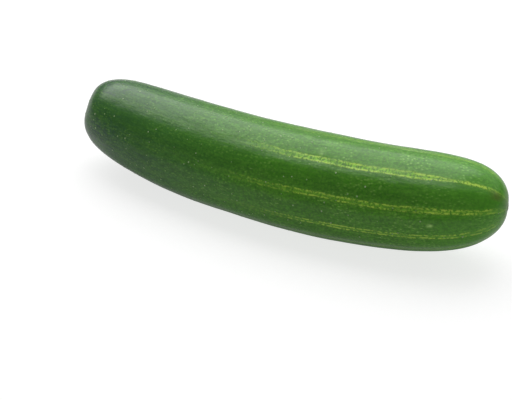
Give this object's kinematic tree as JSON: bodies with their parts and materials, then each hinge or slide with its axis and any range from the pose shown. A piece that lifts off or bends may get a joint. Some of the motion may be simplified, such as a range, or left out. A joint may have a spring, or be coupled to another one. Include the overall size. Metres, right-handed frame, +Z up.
{
  "type": "cucumber",
  "caption": "Whole ridge cucumber lying on its side, gently bowed, with shallow lengthwise furrows, a blunt stem end and a rounded blossom end",
  "frame": {"origin": "on the surface the cucumber lies on, below the middle of its bounding box", "axes": "+X runs along the cucumber from the stem end to the blossom end, +Z is up, and the bow of the body swings toward -Y"},
  "size_m": [0.1894, 0.0454, 0.0414],
  "materials": {
    "skin": "satin"
  },
  "bodies": {
    "root": {"cucumber": "skin"}
  },
  "joints": []
}
